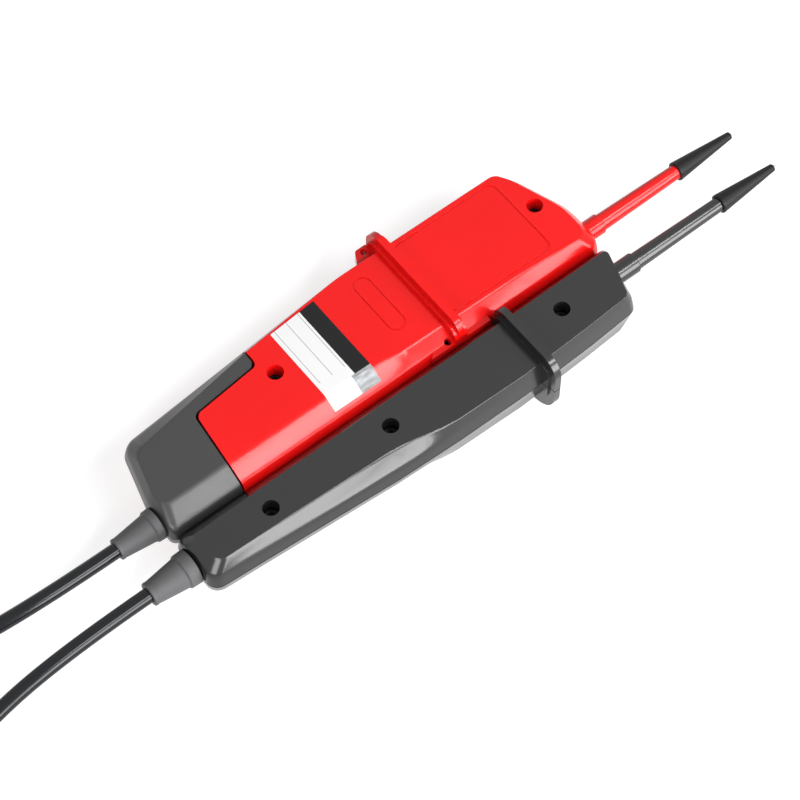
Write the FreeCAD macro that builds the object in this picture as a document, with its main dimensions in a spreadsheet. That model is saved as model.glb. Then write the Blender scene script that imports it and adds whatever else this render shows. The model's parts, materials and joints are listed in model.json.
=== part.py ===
import FreeCAD, Part
import math
import os

import Sketcher
from FreeCAD import Placement, Rotation, Vector

# Two-pole voltage tester: a display unit and a slim probe unit docked side by side, joined by one cable.
# It lies on its front with the backs up. +X runs towards the tips, +Z is up.
# The origin is at the middle of the bounding box without the cord, on the surface that it lies on.
# Millimetres throughout.

document = FreeCAD.newDocument("voltage_tester")
os.makedirs("parts", exist_ok=True)

# Driving sizes: alias, value, meaning
SIZES = [
    ("guard_reach", 5.0, "how far the finger guards stand out of the front and back faces"),
    ("front_depth", 11.5, "parting plane to front face"),
    ("back_depth", 9.5, "parting plane to back face"),
    ("wall_rise", 5.0, "upright part of the side walls above and below the parting plane"),
    ("wall", 2.0, "wall of the moulded shells"),
    ("draft", 1.0, "lean of the side walls over their upright part"),
    ("end_draft", 0.5, "lean of the end walls"),
    ("seal", 0.4, "thickness of the gasket between the halves"),
    ("seal_inset", 0.7, "how far the gasket sits inside the walls"),
    ("dock_half", 9.7, "probe axis to the dock wall, on both units"),
    ("dock_gap", 0.4, "gap between the two dock walls"),
    ("run_fit", 0.05, "radial running clearance"),
    ("seam_gap", 0.7, "gap round the battery cover"),
    # Display unit, plan
    ("main_cable_x", -119.6, "cable end wall"),
    ("main_head_x", 64.7, "head end wall"),
    ("main_width_cable", 29.0, "axis to grip wall at the cable end corner"),
    ("main_width_head", 37.2, "axis to grip wall at the head"),
    ("main_shoulder_x", -18.3, "where the grip wall turns parallel to the axis"),
    ("main_cable_corner_x", -113.3, "cable end corner on the grip side"),
    ("main_head_corner_x", 53.5, "head corner on the grip side"),
    ("main_bevel_handle", 9.2, "dock side bevel along the handle"),
    ("main_bevel_waist", 7.2, "dock side bevel beside the guard"),
    ("main_bevel_head", 4.4, "dock side bevel at the head"),
    ("main_grip_bevel_cable", 7.9, "grip side bevel at the cable end"),
    ("main_grip_bevel_head", 3.2, "grip side bevel at the head"),
    ("main_end_bevel", 3.2, "bevel of the cable end"),
    ("main_head_bevel", 4.0, "bevel of the head end"),
    ("main_waist_start", -29.3, "start of the dock bevel's change of width"),
    ("main_waist_end", -17.3, "end of the dock bevel's change of width"),
    # Display unit, guard and dock
    ("main_guard_x", -0.1, "cable side of the guard's crest"),
    ("main_guard_crest", 2.4, "thickness of the guard's crest"),
    ("main_guard_side", 41.5, "axis to the guard's outer edge"),
    ("main_foot_back", 1.3, "guard foot in front of the crest, towards the cable"),
    ("main_foot_front", 1.6, "guard foot behind the crest, towards the tip"),
    ("main_foot_rise", 2.2, "height of the guard foot"),
    ("guard_corner", 7.0, "corner radius of the guards on the grip side of the back faces"),
    ("guard_front_corner", 11.5, "corner radius of the guards on the grip side of the front faces"),
    ("guard_dock_corner", 5.0, "corner radius of the guards on the dock side"),
    ("dock_block_height", 5.6, "height of the ear and the stop above the parting plane"),
    ("dock_block_depth", 5.6, "depth of the ear and the stop"),
    ("dock_ear_length", 10.9, "length of the ear on the dock side"),
    ("grip_ear_length", 6.2, "length of the ear on the grip side"),
    ("ear_hole", 1.25, "radius of the holes in the ears"),
    ("stop_gap", 0.2, "gap between the dock stop and the probe guard"),
    ("hook_length", 8.0, "length of a dock hook"),
    ("hook_stem", 1.8, "height of a hook's stem"),
    ("hook_head", 3.8, "height of a hook's head"),
    ("hook_plate", 1.2, "thickness of a hook's head"),
    ("hook_drop", 2.9, "middle of the hooks below the parting plane"),
    ("hook_travel", 10.0, "slide that frees the hooks"),
    ("hook_rear_x", -75.0, "middle of the hook near the cable"),
    ("hook_front_x", 30.0, "middle of the hook near the head"),
    ("hook_room", 0.3, "clearance round a hook"),
    # Battery cover
    ("cover_seam_dock_x", -91.0, "seam across the handle at the dock side"),
    ("cover_seam_grip_x", -88.8, "seam across the handle at its inner corner"),
    ("cover_arm_y", 20.9, "inner corner of the side arm"),
    ("cover_arm_end_y", 23.9, "outer corner of the side arm"),
    ("cover_arm_x", -61.2, "end of the side arm"),
    ("skirt_reach", 6.4, "how far the cover's skirt runs along the unit from the end wall"),
    ("skirt_drop", 4.8, "how far the cover's skirt reaches below the parting plane"),
    # Probe unit, plan
    ("probe_cable_x", -119.8, "cable end wall"),
    ("probe_head_x", 63.8, "head end at the dock side"),
    ("probe_head_grip_x", 58.2, "head end at the grip side"),
    ("probe_width_cable", 12.2, "axis to grip wall at the cable end"),
    ("probe_width_rear", 14.3, "axis to grip wall along the handle"),
    ("probe_width_grip", 17.8, "axis to grip wall beside the guard"),
    ("probe_width_head", 15.0, "axis to grip wall at the head"),
    ("probe_dock_bevel", 5.2, "bevel along the dock side"),
    ("probe_bevel_cable", 3.6, "grip bevel at the cable end"),
    ("probe_bevel_rear", 5.1, "grip bevel along the handle"),
    ("probe_bevel_wide", 6.5, "grip bevel at its widest"),
    ("probe_bevel_narrow", 2.5, "grip bevel beside the guard"),
    ("probe_bevel_head", 1.8, "grip bevel at the head"),
    ("probe_wide_x", -46.3, "where the wide grip bevel ends"),
    ("probe_narrow_x", -20.3, "where the narrow grip bevel starts"),
    ("probe_guard_x", 14.9, "cable side of the guard's crest"),
    ("probe_guard_crest", 2.6, "thickness of the guard's crest"),
    ("probe_guard_side", 23.0, "axis to the guard's outer edge"),
    ("probe_foot", 0.8, "guard foot on each side of the crest"),
    ("probe_foot_rise", 1.2, "height of the guard foot"),
    # Tips
    ("collar_radius", 3.8, "collar of the tip sleeves"),
    ("flange_lip", 1.1, "how far the flanges of sleeves and glands reach past their necks"),
    ("main_collar_x", 71.2, "end of the display unit's collar"),
    ("probe_collar_x", 70.2, "end of the probe unit's collar"),
    ("sleeve_root_radius", 3.2, "sleeve beside the collar"),
    ("sleeve_end_radius", 2.7, "sleeve at its far end"),
    ("rod_radius", 1.2, "metal rod"),
    ("rod_point_radius", 0.45, "metal rod behind its point"),
    ("main_tip_x", 134.2, "point of the display unit's rod"),
    ("probe_tip_x", 137.0, "point of the probe unit's rod"),
    ("point_length", 2.6, "ground point of the rods"),
    ("rod_taper", 11.5, "tapered stretch of the rods"),
    ("cap_length", 25.8, "removable tip cap"),
    ("cap_show", 2.2, "metal that shows beyond the cap"),
    ("cap_rear_radius", 3.65, "cap at its wide end"),
    ("cap_front_radius", 1.45, "cap at its narrow end"),
    ("cap_grip", 8.5, "how far the cap reaches over the sleeve"),
    # Cable
    ("cord_radius", 2.75, "cable"),
    ("gland_neck", 4.0, "neck of the glands in the end walls"),
    ("main_gland_collar", 5.9, "collar of the display unit's gland"),
    ("main_collar_length", 3.0, "length of that collar"),
    ("main_gland_end_x", -135.8, "end of the display unit's gland"),
    ("main_gland_mouth", 3.8, "radius of its small end"),
    ("probe_gland_collar", 6.4, "collar of the probe unit's gland"),
    ("probe_collar_length", 4.3, "length of that collar"),
    ("collar_step", 0.75, "step from the collars down to the cones"),
    ("probe_gland_end_x", -137.0, "end of the probe unit's gland"),
    ("probe_gland_mouth", 4.25, "radius of its small end"),
    ("coil_x", -270.0, "middle of the put-away coil"),
    ("coil_inner", 30.25, "radius of the coil's inner turns"),
    # Case screws
    ("screw_radius", 1.4, "thread"),
    ("screw_head", 2.6, "head radius"),
    ("screw_head_height", 2.0, "head height"),
    ("screw_well", 2.95, "radius of the wells in the back faces"),
    ("screw_seat", 1.5, "floor of the wells above the parting plane"),
    ("boss", 4.6, "radius of the bosses in the back halves"),
    ("front_boss", 3.6, "radius of the bosses in the front halves"),
    ("thread_length", 10.0, "thread below the head"),
    # Front side
    ("window_x", 26.0, "middle of the display window"),
    ("window_y", 14.0, "middle of the display window"),
    ("window_length", 28.0, "display window along the unit"),
    ("window_width", 24.0, "display window across the unit"),
    ("button_radius", 4.5, "front buttons"),
    ("button_proud", 0.8, "how far the buttons stand out of the front face"),
    ("button_flange", 0.9, "flange of the buttons inside the wall"),
    ("button_travel", 1.0, "button travel"),
    ("hold_x", -20.0, "hold button"),
    ("test_x", -38.0, "load test button on the display unit"),
    ("probe_button_x", -8.0, "load test button on the probe unit"),
    ("led_radius", 1.4, "level lamps"),
    ("led_pitch", 3.4, "spacing of the level lamps"),
    ("led_x", 45.0, "row of level lamps"),
    ("board", 1.6, "circuit boards"),
    ("board_height", 5.0, "front face to the underside of the boards"),
    ("switch_height", 1.0, "low switches under the buttons"),
    ("cell_radius", 5.25, "battery cell"),
    ("cell_length", 44.5, "battery cell"),
    ("cell_x", -110.0, "cable side end of the cells"),
    ("cell_pitch", 11.2, "spacing of the two cells"),
    ("contact", 0.3, "thickness of the contact strips"),
    ("contact_room", 0.1, "clearance of the contact strips in their slots"),
    ("cell_y", 5.5, "axis of the first cell"),
    # Markings that are moulded or stuck on
    ("label_rear_x", -50.0, "rear edge of the rating label"),
    ("label_front_x", -30.5, "front edge of the rating label"),
    ("label_thickness", 0.15, "rating label"),
    ("groove", 0.5, "width of the engraved outlines"),
    ("groove_depth", 0.35, "depth of the engraved outlines"),
]

sheet = document.addObject("Spreadsheet::Sheet", "sizes")
for row, (alias, value, meaning) in enumerate(SIZES, 1):
    sheet.set("A%d" % row, meaning)
    sheet.set("B%d" % row, str(value))
    sheet.setAlias("B%d" % row, alias)
document.recompute()


def number(text):
    """Value of a sheet expression, in millimetres."""
    result = sheet.evalExpression(text)
    return float(getattr(result, "Value", result))


# Places that follow from the sizes
PARTING = "(sizes.guard_reach + sizes.front_depth)"
BACK = "(sizes.guard_reach + sizes.front_depth + sizes.back_depth)"
FRONT = "sizes.guard_reach"
TOP = "(2 * sizes.guard_reach + sizes.front_depth + sizes.back_depth)"
SPACING = "(2 * sizes.dock_half + sizes.dock_gap)"
MAIN_Y = "((sizes.probe_guard_side + %s - sizes.main_guard_side) / 2)" % SPACING
PROBE_Y = "((sizes.probe_guard_side - %s - sizes.main_guard_side) / 2)" % SPACING


# Small helpers

def place(item, x="0", y="0", z="0"):
    """Ties an object's position to the sheet."""
    for axis, text in zip("xyz", (x, y, z)):
        item.setExpression("Placement.Base." + axis, text)
    return item


def add(kind, name, **texts):
    """Makes a Part primitive whose properties follow sheet expressions."""
    item = document.addObject("Part::" + kind, name)
    for prop, text in texts.items():
        item.setExpression(prop, text)
    return item


def rod_along_x(name, radius, length, x, y, z):
    """Cylinder along +X that starts at x."""
    item = add("Cylinder", name, Radius=radius, Height=length)
    item.Placement = Placement(Vector(), Rotation(Vector(0, 1, 0), 90))
    return place(item, x, y, z)


def post(name, radius, height, x, y, z):
    """Cylinder along +Z that starts at z."""
    return place(add("Cylinder", name, Radius=radius, Height=height), x, y, z)


def block(name, length, width, height, x, y, z):
    """Box whose low corner is at x, y, z."""
    return place(add("Box", name, Length=length, Width=width, Height=height), x, y, z)


def joined(name, pieces):
    item = document.addObject("Part::MultiFuse", name)
    item.Shapes = pieces
    return item


def less(name, base, tools):
    """The base without the tools."""
    item = document.addObject("Part::Cut", name)
    item.Base = base
    item.Tool = tools[0] if len(tools) == 1 else joined(name + "_tools", tools)
    return item


def common(name, first, second):
    item = document.addObject("Part::Common", name)
    item.Base = first
    item.Tool = second
    return item


def group(name, pieces):
    """Separate solids that share one node."""
    item = document.addObject("Part::Compound", name)
    item.Links = pieces
    return item


def origin_plane(body, role):
    return [plane for plane in body.Origin.OriginFeatures if plane.Role == role][0]


def outline(body, name, role, level, corners):
    """Closed sketch through corners (x, y, radius or None), each bound to the sheet.

    A corner with a radius is rounded, and a construction point keeps its place.
    """
    sketch = body.newObject("Sketcher::SketchObject", name)
    sketch.AttachmentSupport = [(origin_plane(body, role), "")]
    sketch.MapMode = "FlatFace"
    sketch.setExpression("AttachmentOffset.Base.z", level)
    points = [Vector(number(x), number(y), 0) for x, y, radius in corners]
    count = len(points)
    arrive, leave, arcs = [], [], {}
    for i, (x, y, radius) in enumerate(corners):
        here = points[i]
        if radius is None:
            arrive.append(here)
            leave.append(here)
            continue
        size = number(radius)
        back = (points[i - 1] - here).normalize()
        ahead = (points[(i + 1) % count] - here).normalize()
        half = back.getAngle(ahead) / 2
        centre = here + (back + ahead).normalize() * (size / math.sin(half))
        arrive.append(here + back * (size / math.tan(half)))
        leave.append(here + ahead * (size / math.tan(half)))
        angles = [math.atan2(p.y - centre.y, p.x - centre.x) for p in (arrive[i], leave[i])]
        left_turn = ahead.x * back.y - ahead.y * back.x > 0
        arcs[i] = (centre, size, angles if left_turn else angles[::-1], left_turn)
    sketch.addGeometry([Part.LineSegment(leave[i], arrive[(i + 1) % count]) for i in range(count)], False)
    rules, bound = [], []

    def fix(kind, geometry, text, value):
        bound.append((len(rules), text))
        rules.append(Sketcher.Constraint(kind, -1, 1, geometry, 1, value))

    for i, (x, y, radius) in enumerate(corners):
        before = (i - 1) % count
        if radius is None:
            rules.append(Sketcher.Constraint("Coincident", before, 2, i, 1))
            fix("DistanceX", i, x, points[i].x)
            fix("DistanceY", i, y, points[i].y)
            continue
        centre, size, angles, left_turn = arcs[i]
        arc = sketch.addGeometry(Part.ArcOfCircle(Part.Circle(centre, Vector(0, 0, 1), size), *angles), False)
        corner = sketch.addGeometry(Part.Point(points[i]), True)
        first, second = (1, 2) if left_turn else (2, 1)
        rules.append(Sketcher.Constraint("Tangent", before, 2, arc, first))
        rules.append(Sketcher.Constraint("Tangent", arc, second, i, 1))
        bound.append((len(rules), radius))
        rules.append(Sketcher.Constraint("Radius", arc, size))
        rules.append(Sketcher.Constraint("PointOnObject", corner, 1, before))
        rules.append(Sketcher.Constraint("PointOnObject", corner, 1, i))
        fix("DistanceX", corner, x, points[i].x)
        fix("DistanceY", corner, y, points[i].y)
    sketch.addConstraint(rules)
    for index, text in bound:
        sketch.setExpression("Constraints[%d]" % index, text)
    return sketch


def padded_outline(name, role, level, length, corners):
    """Body: one outline, padded along the plane's normal."""
    body = document.addObject("PartDesign::Body", name)
    sketch = outline(body, name + "_sketch", role, level, corners)
    pad = body.newObject("PartDesign::Pad", name + "_pad")
    pad.Profile = sketch
    pad.setExpression("Length", length)
    return body


def turned(name, profile, y):
    """Body: a profile of (x, radius) corners turned about the unit's axis on the parting plane."""
    body = document.addObject("PartDesign::Body", name)
    corners = [(x, radius, None) for x, radius in profile]
    sketch = outline(body, name + "_sketch", "XZ_Plane", "0", corners)
    turn = body.newObject("PartDesign::Revolution", name + "_turn")
    turn.Profile = sketch
    turn.ReferenceAxis = (sketch, ["H_Axis"])
    turn.Angle = 360
    return place(body, "0", y, PARTING)


# Moulded housings

# How a side wall rises from the parting plane to the face: shares of the upright part's height, of the
# bevel's height, of the draft and of the bevel's width. The uneven steps round the two edges of the bevel.
RISE = [
    (0, 0, 0, 0),
    (0.64, 0, 0.64, 0),
    (0.94, 0, 0.9, 0.03),
    (1, 0.2, 0.8, 0.2),
    (1, 0.83, 0.17, 0.83),
    (1, 0.955, 0.06, 0.955),
    (1, 1, 0, 1.06),
]

# Smooth step shares for a bevel that changes its width
EASE = [(step / 4, 3 * (step / 4) ** 2 - 2 * (step / 4) ** 3) for step in range(5)]


def between(start, end, share):
    return "(%s + (%s - %s) * %s)" % (start, end, start, share)


def main_corners():
    """Plan of the display unit: x, y, inward sign in x, bevel in x, inward sign in y, bevel in y, radius."""
    dock = "-sizes.dock_half"
    cable, head = "sizes.main_cable_x", "sizes.main_head_x"
    narrow, wide = "sizes.main_width_cable", "sizes.main_width_head"
    corner, shoulder = "sizes.main_cable_corner_x", "sizes.main_shoulder_x"
    head_bevel, grip_bevel = "sizes.main_head_bevel", "sizes.main_grip_bevel_head"
    plan = [(cable, dock, 1, "sizes.main_end_bevel", 1, "sizes.main_bevel_handle", "3")]
    for along, share in EASE:
        x = between("sizes.main_waist_start", "sizes.main_waist_end", along)
        bevel = between("sizes.main_bevel_handle", "sizes.main_bevel_waist", share)
        plan.append((x, dock, 0, "0", 1, bevel, None))
    plan += [
        (head + " - 35", dock, 0, "0", 1, "(sizes.main_bevel_waist - 0.7)", None),
        (head, dock, -1, head_bevel, 1, "sizes.main_bevel_head", "5"),
        (head, "9.2", -1, head_bevel, 0, "0", "25"),
        (head + " - 7", wide + " - 7.5", -1, "(%s - 0.2)" % head_bevel, -1, "1", "20"),
        ("sizes.main_head_corner_x", wide, -1, "3", -1, grip_bevel, "4"),
        (shoulder, wide, 0, "0", -1, grip_bevel, "60"),
    ]
    for share, bevel in ((0.19, 0.06), (0.44, 0.15)):
        x = between(shoulder, corner, share)
        plan.append((x, between(wide, narrow, share), 0, "0", -1,
                     between(grip_bevel, "sizes.main_grip_bevel_cable", bevel), None))
    plan += [
        (corner, narrow, 1, "0.9", -1, "sizes.main_grip_bevel_cable", "6"),
        (cable, "5.5", 1, "(sizes.main_end_bevel - 0.4)", 0, "0", "15"),
    ]
    return plan


def probe_corners():
    """Plan of the probe unit, mirrored so that its grip side is at +y."""
    dock, wide = "-sizes.dock_half", "sizes.probe_width_grip"
    cable, rear, guard = "sizes.probe_cable_x", "sizes.probe_width_rear", "sizes.probe_guard_x"
    start, end = "sizes.probe_narrow_x", "sizes.probe_wide_x"
    plan = [
        (cable, dock, 1, "3.4", 1, "sizes.probe_dock_bevel", "3"),
        ("sizes.probe_head_x", dock, -1, "2.1", 1, "(sizes.probe_dock_bevel - 1.2)", "1.5"),
        ("sizes.probe_head_grip_x", "sizes.probe_width_head", -1, "2.7", -1, "sizes.probe_bevel_head", "4"),
        (guard + " + 22", "sizes.probe_width_head + 1.6", 0, "0", -1, "(sizes.probe_bevel_head + 0.4)", None),
        (guard + " - 8", wide, 0, "0", -1, "(sizes.probe_bevel_narrow - 0.4)", None),
    ]
    for along, share in EASE:
        plan.append((between(start, end, along), "%s - 0.8 * %s" % (wide, along), 0, "0", -1,
                     between("sizes.probe_bevel_narrow", "sizes.probe_bevel_wide", share), None))
    plan += [
        (end + " - 40", rear, 0, "0", -1, "sizes.probe_bevel_rear", None),
        (cable, "sizes.probe_width_cable", 1, "5.6", -1, "sizes.probe_bevel_cable", "4.5"),
    ]
    return plan


def plan_at(plan, side, inset, draft, bevel, trim):
    """The plan's corners at one level: inset plus shares of the draft and the bevel."""
    corners = []
    for x, y, x_sign, x_bevel, y_sign, y_bevel, radius in plan:
        x_move = "%s * (%s + %s * sizes.end_draft + %s * %s)" % (x_sign, inset, draft, bevel, x_bevel)
        y_move = "%s * (%s + %s * sizes.draft + %s * %s)" % (y_sign, inset, draft, bevel, y_bevel)
        if radius is not None and trim:
            radius = "%s - %s" % (radius, trim) if float(radius) - number(trim) > 0.3 else None
        corners.append(("%s + %s" % (x, x_move), "%d * (%s + %s)" % (side, y, y_move), radius))
    return corners


def lofted(name, levels):
    """Body: ruled loft through outlines (height, corners)."""
    body = document.addObject("PartDesign::Body", name)
    sketches = [
        outline(body, "%s_level_%d" % (name, i), "XY_Plane", height, corners)
        for i, (height, corners) in enumerate(levels)
    ]
    loft = body.newObject("PartDesign::AdditiveLoft", name + "_loft")
    loft.Profile = sketches[0]
    loft.Sections = sketches[1:]
    loft.Ruled = True
    return body


def half_housing(name, plan, side, front):
    """Outer form and cavity of one half of a housing."""
    up = -1 if front else 1
    depth = "sizes.front_depth" if front else "sizes.back_depth"
    bevel_rise = "(%s - sizes.wall_rise)" % depth
    start = "%s + %d * sizes.seal / 2" % (PARTING, up)
    levels = []
    for wall_share, bevel_share, draft, bevel in RISE:
        rise = "%s * sizes.wall_rise + %s * %s" % (wall_share, bevel_share, bevel_rise)
        height = "%s + %d * (%s)" % (PARTING, up, rise)
        corners = plan_at(plan, side, "0", draft, bevel, None)
        levels.append((height if wall_share else start, corners))
    outer = lofted(name + "_outer", levels)
    share = "(%s - sizes.wall) / %s" % (bevel_rise, bevel_rise)
    hollow = [
        (PARTING, plan_at(plan, side, "sizes.wall", 0, 0, "sizes.wall")),
        ("%s + %d * sizes.wall_rise" % (PARTING, up), plan_at(plan, side, "sizes.wall", 1, 0, "sizes.wall")),
        ("%s + %d * (%s - sizes.wall)" % (PARTING, up, depth),
         plan_at(plan, side, "sizes.wall", "(1 - %s)" % share, share, "sizes.wall")),
    ]
    return outer, lofted(name + "_hollow", hollow)


def guard(name, side, outer_edge, x, thickness, rise, front, less_round="0"):
    """Finger guard: a plate across the unit whose outline stands out of the face by the rise.

    The corner on the grip side has the guards' radius, less less_round.
    """
    corner = "%s - %s" % ("sizes.guard_front_corner" if front else "sizes.guard_corner", less_round)
    face = "(%s - (sizes.guard_reach - %s))" % (TOP, rise) if not front else "(sizes.guard_reach - %s)" % rise
    dock = "%d * (-sizes.dock_half)" % side
    grip = "%d * (%s - (sizes.guard_reach - %s) * 0.7)" % (side, outer_edge, rise)
    start = "%s + %d * sizes.seal / 2" % (PARTING, -1 if front else 1)
    corners = [
        (dock, start, None),
        (dock, face, "sizes.guard_dock_corner"),
        (grip, face, corner),
        (grip, start, None),
    ]
    return padded_outline(name, "YZ_Plane", x, thickness, corners)


def rim(name, plan, side, inset):
    """Plan of a unit, inset, as thick as the gasket and centred on the parting plane."""
    corners = plan_at(plan, side, inset, 0, 0, inset if inset != "0" else None)
    return padded_outline(name, "XY_Plane", "%s - sizes.seal / 2" % PARTING, "sizes.seal", corners)


def gasket(name, plan, side, ways):
    """Flat ring between the halves, open where the gland and the tip sleeve pass."""
    inside = rim(name + "_inside", plan, side, "sizes.wall")
    return less(name + "_ring", rim(name + "_rim", plan, side, "sizes.seal_inset"), [inside] + ways)


def end_hole(name, radius, x, length):
    return rod_along_x(name, radius, length, x, "0", PARTING)


# Case screws: (x, y) in each unit, y towards its grip side
MAIN_SCREWS = [("-57.5", "17.2"), ("sizes.main_head_x - 11", "15.2")]
PROBE_SCREWS = [("-89.5", "3.2"), ("-39.8", "3.1"), ("34.0", "3.3")]


def screw_parts(name, screws, side):
    """Bosses, wells, pilot holes and the screws of one unit."""
    found = {"bosses": [], "wells": [], "front_bosses": [], "pilots": [], "screws": []}
    seat = "(%s + sizes.screw_seat)" % PARTING
    for i, (x, v) in enumerate(screws):
        y = "%d * %s" % (side, v)
        tag = "%s_%d" % (name, i)
        found["bosses"].append(post(tag + "_boss", "sizes.boss",
                                    "sizes.back_depth - (sizes.wall + sizes.seal) / 2",
                                    x, y, "%s + sizes.seal / 2" % PARTING))
        found["wells"].append(post(tag + "_well", "sizes.screw_well", "sizes.back_depth", x, y, seat))
        found["wells"].append(post(tag + "_way", "sizes.screw_radius + sizes.run_fit", "sizes.back_depth",
                                   x, y, PARTING))
        found["front_bosses"].append(post(tag + "_pillar", "sizes.front_boss",
                                          "sizes.front_depth - sizes.seal / 2 - sizes.wall / 2",
                                          x, y, "%s + sizes.wall / 2" % FRONT))
        found["pilots"].append(post(tag + "_pilot", "sizes.screw_radius + sizes.run_fit",
                                    "sizes.thread_length + 2 * sizes.seal",
                                    x, y, "%s - sizes.thread_length - sizes.seal" % seat))
        head = post(tag + "_head", "sizes.screw_head", "sizes.screw_head_height", x, y, seat)
        thread = post(tag + "_thread", "sizes.screw_radius", "sizes.thread_length",
                      x, y, "%s - sizes.thread_length" % seat)
        socket = post(tag + "_socket", "sizes.screw_radius", "sizes.screw_head_height / 2",
                      x, y, "%s + sizes.screw_head_height / 2" % seat)
        found["screws"].append(less(tag + "_screw", joined(tag + "_solid", [head, thread]), [socket]))
    return found


finished = []


def finish(item, label, x="0", y="0"):
    """Names a finished piece and ties it to its unit's place."""
    item.Label = label
    place(item, x, y, "0")
    finished.append(item)
    return item


# Display unit housing

main_plan = main_corners()
main_back_outer, main_back_hollow = half_housing("main_back", main_plan, 1, False)
main_front_outer, main_front_hollow = half_housing("main_front", main_plan, 1, True)
main_screws = screw_parts("main", MAIN_SCREWS, 1)

GUARD_FOOT_X = "sizes.main_guard_x - sizes.main_foot_back"
GUARD_FOOT = "sizes.main_guard_crest + sizes.main_foot_back + sizes.main_foot_front"


def main_guard(name, front):
    crest = guard(name + "_crest", 1, "sizes.main_guard_side", "sizes.main_guard_x",
                  "sizes.main_guard_crest", "sizes.guard_reach", front)
    foot = guard(name + "_foot", 1, "sizes.main_guard_side", GUARD_FOOT_X, GUARD_FOOT,
                 "sizes.main_foot_rise", front, "2")
    return [crest, foot]


def dock_hooks():
    """T hooks on the dock wall of the display unit's front half, which reach into the probe unit."""
    hooks = []
    middle = "%s - sizes.hook_drop" % PARTING
    reach = "(sizes.dock_gap + sizes.wall + sizes.draft + sizes.hook_room)"
    stem_reach = "%s + sizes.wall" % reach
    for tag, x in (("rear", "sizes.hook_rear_x"), ("front", "sizes.hook_front_x")):
        low_x = "%s - sizes.hook_length / 2" % x
        hooks.append(block("hook_stem_" + tag, "sizes.hook_length", stem_reach, "sizes.hook_stem",
                           low_x, "-sizes.dock_half - %s" % reach, "%s - sizes.hook_stem / 2" % middle))
        hooks.append(block("hook_head_" + tag, "sizes.hook_length", "sizes.hook_plate", "sizes.hook_head",
                           low_x, "-sizes.dock_half - %s - sizes.hook_plate" % reach,
                           "%s - sizes.hook_head / 2" % middle))
    return hooks


def dock_blocks():
    """Ears behind the guard and the stop in front of it, on the back half."""
    low, rise = "%s + sizes.seal / 2" % PARTING, "sizes.dock_block_height - sizes.seal / 2"
    dock, inside = "-sizes.dock_half", "-sizes.dock_half + sizes.dock_block_depth"
    grip_in, grip_out = "sizes.main_width_head - 2", "sizes.main_guard_side - 0.6"
    foot, crest = GUARD_FOOT_X + " + 0.5", "sizes.main_guard_x + sizes.main_guard_crest"
    ear = padded_outline("dock_ear", "XY_Plane", low, rise, [
        (foot + " - sizes.dock_ear_length", dock, None),
        (foot, dock, None),
        (foot, inside, None),
        (foot + " - sizes.dock_ear_length * 0.45", inside, "2"),
    ])
    grip_ear = padded_outline("grip_ear", "XY_Plane", low, rise, [
        (foot + " - sizes.grip_ear_length - 1.5", grip_in, None),
        (foot, grip_in, None),
        (foot, grip_out, None),
        (foot + " - sizes.grip_ear_length + 1.6", grip_out, "1.5"),
    ])
    stop_length = "sizes.probe_guard_x - sizes.probe_foot - sizes.stop_gap - (%s)" % crest
    stop = block("dock_stop", stop_length, "sizes.dock_block_depth", rise, crest, dock, low)
    return [ear, grip_ear, stop]


def ear_holes():
    y_dock = "-sizes.dock_half + sizes.ear_hole + 0.8"
    y_grip = "(sizes.main_width_head + sizes.main_guard_side) / 2 - 0.6"
    x = GUARD_FOOT_X + " - 1.9"
    return [
        post("dock_ear_hole", "sizes.ear_hole", "sizes.back_depth", x, y_dock, PARTING),
        post("grip_ear_hole", "sizes.ear_hole", "sizes.back_depth", x, y_grip, PARTING),
    ]


def engraved(name, corners, centre_x, centre_y):
    """Shallow groove along a rounded outline given as half sizes (half length, half width, radius)."""
    half_x, half_y, radius = corners
    rings = []
    for part, grow in (("outer", "0"), ("inner", "sizes.groove")):
        half = ["(%s - %s)" % (size, grow) for size in (half_x, half_y)]
        loop = [
            (" ".join((centre_x, sx, half[0])), " ".join((centre_y, sy, half[1])), "%s - %s" % (radius, grow))
            for sx, sy in (("-", "-"), ("+", "-"), ("+", "+"), ("-", "+"))
        ]
        rings.append(padded_outline("%s_%s" % (name, part), "XY_Plane", "%s - sizes.groove_depth" % BACK,
                                    "sizes.groove_depth + 1", loop))
    return less(name, rings[0], rings[1:])


def cover_region(name, gap):
    """Plan region of the battery cover, grown by a gap, as a prism over the whole back half."""
    far = "200"
    corners = [
        ("-%s" % far, "-%s" % far, None),
        ("sizes.cover_seam_dock_x + %s" % gap, "-%s" % far, None),
        ("sizes.cover_seam_dock_x + %s" % gap, "0", None),
        ("sizes.cover_seam_grip_x + %s" % gap, "sizes.cover_arm_y - %s" % gap, "3"),
        ("sizes.cover_arm_x + %s" % gap, "sizes.cover_arm_end_y - %s" % gap, "2.5"),
        ("sizes.cover_arm_x + %s" % gap, far, None),
        ("-%s" % far, far, None),
    ]
    height = "sizes.back_depth + sizes.guard_reach + 2"
    return padded_outline(name, "XY_Plane", "%s - 1" % PARTING, height, corners)


main_gland_way = end_hole("main_gland_way", "sizes.gland_neck + sizes.run_fit",
                          "sizes.main_cable_x - 5", "sizes.wall * 4 + 5")
main_tip_way = end_hole("main_tip_way", "sizes.collar_radius + sizes.run_fit",
                        "sizes.main_head_x - sizes.wall * 2", "20")

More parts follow.
